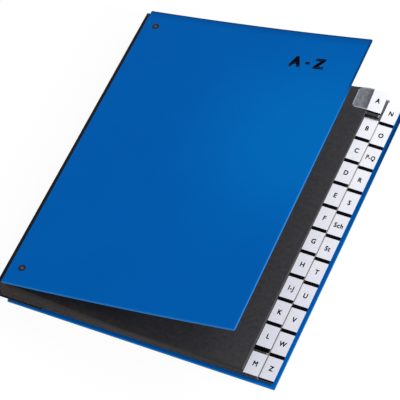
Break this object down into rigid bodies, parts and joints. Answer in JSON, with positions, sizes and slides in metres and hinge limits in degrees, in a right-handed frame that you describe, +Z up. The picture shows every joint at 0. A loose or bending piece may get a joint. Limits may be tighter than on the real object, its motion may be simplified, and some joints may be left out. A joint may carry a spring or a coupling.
{
  "type": "alphabetical desk sorter",
  "caption": "Alphabetical desk sorter with blue hard covers, a black cloth back and black card dividers whose lettered white tabs show in two columns beside the shorter front cover.",
  "frame": {"origin": "on the desk, under the middle of the sorter's box", "axes": "+X from the cloth back to the fore-edge with the tabs, +Y along the back from the M tab to the A tab, +Z up from the desk"},
  "size_m": [0.2612, 0.34, 0.0812],
  "materials": {
    "board": "paper-covered hard board, satin",
    "cloth": "woven book cloth, matt",
    "card": "through-dyed card, matt",
    "label": "printed paper under clear film",
    "rivet": "blackened steel"
  },
  "bodies": {
    "rear_cover": {"rear_cover": "board", "rear_hinge_cloth": "cloth", "rear_rivets": "rivet"},
    "spine": {"spine_cloth": "cloth", "leaf_guards": "cloth"},
    "front_cover": {"front_cover": "board", "front_hinge_cloth": "cloth", "front_rivets": "rivet"},
    "divider_a": {"divider_a": "card", "tab_label_a": "label"},
    "divider_b": {"divider_b": "card", "tab_label_b": "label"},
    "divider_c": {"divider_c": "card", "tab_label_c": "label"},
    "divider_d": {"divider_d": "card", "tab_label_d": "label"},
    "divider_e": {"divider_e": "card", "tab_label_e": "label"},
    "divider_f": {"divider_f": "card", "tab_label_f": "label"},
    "divider_g": {"divider_g": "card", "tab_label_g": "label"},
    "divider_h": {"divider_h": "card", "tab_label_h": "label"},
    "divider_ij": {"divider_ij": "card", "tab_label_ij": "label"},
    "divider_k": {"divider_k": "card", "tab_label_k": "label"},
    "divider_l": {"divider_l": "card", "tab_label_l": "label"},
    "divider_m": {"divider_m": "card", "tab_label_m": "label"},
    "divider_n": {"divider_n": "card", "tab_label_n": "label"},
    "divider_o": {"divider_o": "card", "tab_label_o": "label"},
    "divider_pq": {"divider_pq": "card", "tab_label_pq": "label"},
    "divider_r": {"divider_r": "card", "tab_label_r": "label"},
    "divider_s": {"divider_s": "card", "tab_label_s": "label"},
    "divider_sch": {"divider_sch": "card", "tab_label_sch": "label"},
    "divider_st": {"divider_st": "card", "tab_label_st": "label"},
    "divider_t": {"divider_t": "card", "tab_label_t": "label"},
    "divider_u": {"divider_u": "card", "tab_label_u": "label"},
    "divider_v": {"divider_v": "card", "tab_label_v": "label"},
    "divider_w": {"divider_w": "card", "tab_label_w": "label"},
    "divider_z": {"divider_z": "card", "tab_label_z": "label"}
  },
  "joints": [
    {"name": "spine_fold", "type": "hinge", "parent": "rear_cover", "child": "spine", "pos_m": [-0.13037, 0, 0.0025], "axis": [0, -1, 0], "range_deg": [0, 90], "deforming": ["leaf_guards"]},
    {"name": "front_cover_hinge", "type": "hinge", "parent": "spine", "child": "front_cover", "pos_m": [-0.13037, 0, 0.02574], "axis": [0, -1, 0], "range_deg": [-14.31, 76.6]},
    {"name": "divider_a_hinge", "type": "hinge", "parent": "spine", "child": "divider_a", "pos_m": [-0.13037, 0, 0.02302], "axis": [0, -1, 0], "range_deg": [-8.46, 0]},
    {"name": "divider_b_hinge", "type": "hinge", "parent": "spine", "child": "divider_b", "pos_m": [-0.13037, 0, 0.02217], "axis": [0, -1, 0], "range_deg": [-11.81, 0]},
    {"name": "divider_c_hinge", "type": "hinge", "parent": "spine", "child": "divider_c", "pos_m": [-0.13037, 0, 0.02132], "axis": [0, -1, 0], "range_deg": [-15.16, 0]},
    {"name": "divider_d_hinge", "type": "hinge", "parent": "spine", "child": "divider_d", "pos_m": [-0.13037, 0, 0.02047], "axis": [0, -1, 0], "range_deg": [-18.51, 0]},
    {"name": "divider_e_hinge", "type": "hinge", "parent": "spine", "child": "divider_e", "pos_m": [-0.13037, 0, 0.01962], "axis": [0, -1, 0], "range_deg": [-21.86, 0]},
    {"name": "divider_f_hinge", "type": "hinge", "parent": "spine", "child": "divider_f", "pos_m": [-0.13037, 0, 0.01877], "axis": [0, -1, 0], "range_deg": [-25.21, 0]},
    {"name": "divider_g_hinge", "type": "hinge", "parent": "spine", "child": "divider_g", "pos_m": [-0.13037, 0, 0.01792], "axis": [0, -1, 0], "range_deg": [-28.56, 0]},
    {"name": "divider_h_hinge", "type": "hinge", "parent": "spine", "child": "divider_h", "pos_m": [-0.13037, 0, 0.01707], "axis": [0, -1, 0], "range_deg": [-31.91, 0]},
    {"name": "divider_ij_hinge", "type": "hinge", "parent": "spine", "child": "divider_ij", "pos_m": [-0.13037, 0, 0.01622], "axis": [0, -1, 0], "range_deg": [-35.26, 0]},
    {"name": "divider_k_hinge", "type": "hinge", "parent": "spine", "child": "divider_k", "pos_m": [-0.13037, 0, 0.01537], "axis": [0, -1, 0], "range_deg": [-38.61, 0]},
    {"name": "divider_l_hinge", "type": "hinge", "parent": "spine", "child": "divider_l", "pos_m": [-0.13037, 0, 0.01452], "axis": [0, -1, 0], "range_deg": [-41.96, 0]},
    {"name": "divider_m_hinge", "type": "hinge", "parent": "spine", "child": "divider_m", "pos_m": [-0.13037, 0, 0.01367], "axis": [0, -1, 0], "range_deg": [-45.31, 0]},
    {"name": "divider_n_hinge", "type": "hinge", "parent": "spine", "child": "divider_n", "pos_m": [-0.13037, 0, 0.01282], "axis": [0, -1, 0], "range_deg": [-48.66, 0]},
    {"name": "divider_o_hinge", "type": "hinge", "parent": "spine", "child": "divider_o", "pos_m": [-0.13037, 0, 0.01197], "axis": [0, -1, 0], "range_deg": [-52.01, 0]},
    {"name": "divider_pq_hinge", "type": "hinge", "parent": "spine", "child": "divider_pq", "pos_m": [-0.13037, 0, 0.01112], "axis": [0, -1, 0], "range_deg": [-55.36, 0]},
    {"name": "divider_r_hinge", "type": "hinge", "parent": "spine", "child": "divider_r", "pos_m": [-0.13037, 0, 0.01027], "axis": [0, -1, 0], "range_deg": [-58.71, 0]},
    {"name": "divider_s_hinge", "type": "hinge", "parent": "spine", "child": "divider_s", "pos_m": [-0.13037, 0, 0.00942], "axis": [0, -1, 0], "range_deg": [-62.06, 0]},
    {"name": "divider_sch_hinge", "type": "hinge", "parent": "spine", "child": "divider_sch", "pos_m": [-0.13037, 0, 0.00857], "axis": [0, -1, 0], "range_deg": [-65.41, 0]},
    {"name": "divider_st_hinge", "type": "hinge", "parent": "spine", "child": "divider_st", "pos_m": [-0.13037, 0, 0.00772], "axis": [0, -1, 0], "range_deg": [-68.76, 0]},
    {"name": "divider_t_hinge", "type": "hinge", "parent": "spine", "child": "divider_t", "pos_m": [-0.13037, 0, 0.00687], "axis": [0, -1, 0], "range_deg": [-72.11, 0]},
    {"name": "divider_u_hinge", "type": "hinge", "parent": "spine", "child": "divider_u", "pos_m": [-0.13037, 0, 0.00602], "axis": [0, -1, 0], "range_deg": [-75.46, 0]},
    {"name": "divider_v_hinge", "type": "hinge", "parent": "spine", "child": "divider_v", "pos_m": [-0.13037, 0, 0.00517], "axis": [0, -1, 0], "range_deg": [-78.81, 0]},
    {"name": "divider_w_hinge", "type": "hinge", "parent": "spine", "child": "divider_w", "pos_m": [-0.13037, 0, 0.00432], "axis": [0, -1, 0], "range_deg": [-82.16, 0]},
    {"name": "divider_z_hinge", "type": "hinge", "parent": "spine", "child": "divider_z", "pos_m": [-0.13037, 0, 0.00347], "axis": [0, -1, 0], "range_deg": [-85.51, 0]}
  ],
  "couplings": [
    {"joint": "divider_a_hinge", "follows": "spine_fold", "ratio": -0.093889},
    {"joint": "divider_b_hinge", "follows": "spine_fold", "ratio": -0.13111},
    {"joint": "divider_c_hinge", "follows": "spine_fold", "ratio": -0.16833},
    {"joint": "divider_d_hinge", "follows": "spine_fold", "ratio": -0.20556},
    {"joint": "divider_e_hinge", "follows": "spine_fold", "ratio": -0.24278},
    {"joint": "divider_f_hinge", "follows": "spine_fold", "ratio": -0.28},
    {"joint": "divider_g_hinge", "follows": "spine_fold", "ratio": -0.31722},
    {"joint": "divider_h_hinge", "follows": "spine_fold", "ratio": -0.35444},
    {"joint": "divider_ij_hinge", "follows": "spine_fold", "ratio": -0.39167},
    {"joint": "divider_k_hinge", "follows": "spine_fold", "ratio": -0.42889},
    {"joint": "divider_l_hinge", "follows": "spine_fold", "ratio": -0.46611},
    {"joint": "divider_m_hinge", "follows": "spine_fold", "ratio": -0.50333},
    {"joint": "divider_n_hinge", "follows": "spine_fold", "ratio": -0.54056},
    {"joint": "divider_o_hinge", "follows": "spine_fold", "ratio": -0.57778},
    {"joint": "divider_pq_hinge", "follows": "spine_fold", "ratio": -0.615},
    {"joint": "divider_r_hinge", "follows": "spine_fold", "ratio": -0.65222},
    {"joint": "divider_s_hinge", "follows": "spine_fold", "ratio": -0.68944},
    {"joint": "divider_sch_hinge", "follows": "spine_fold", "ratio": -0.72667},
    {"joint": "divider_st_hinge", "follows": "spine_fold", "ratio": -0.76389},
    {"joint": "divider_t_hinge", "follows": "spine_fold", "ratio": -0.80111},
    {"joint": "divider_u_hinge", "follows": "spine_fold", "ratio": -0.83833},
    {"joint": "divider_v_hinge", "follows": "spine_fold", "ratio": -0.87556},
    {"joint": "divider_w_hinge", "follows": "spine_fold", "ratio": -0.91278},
    {"joint": "divider_z_hinge", "follows": "spine_fold", "ratio": -0.95}
  ]
}
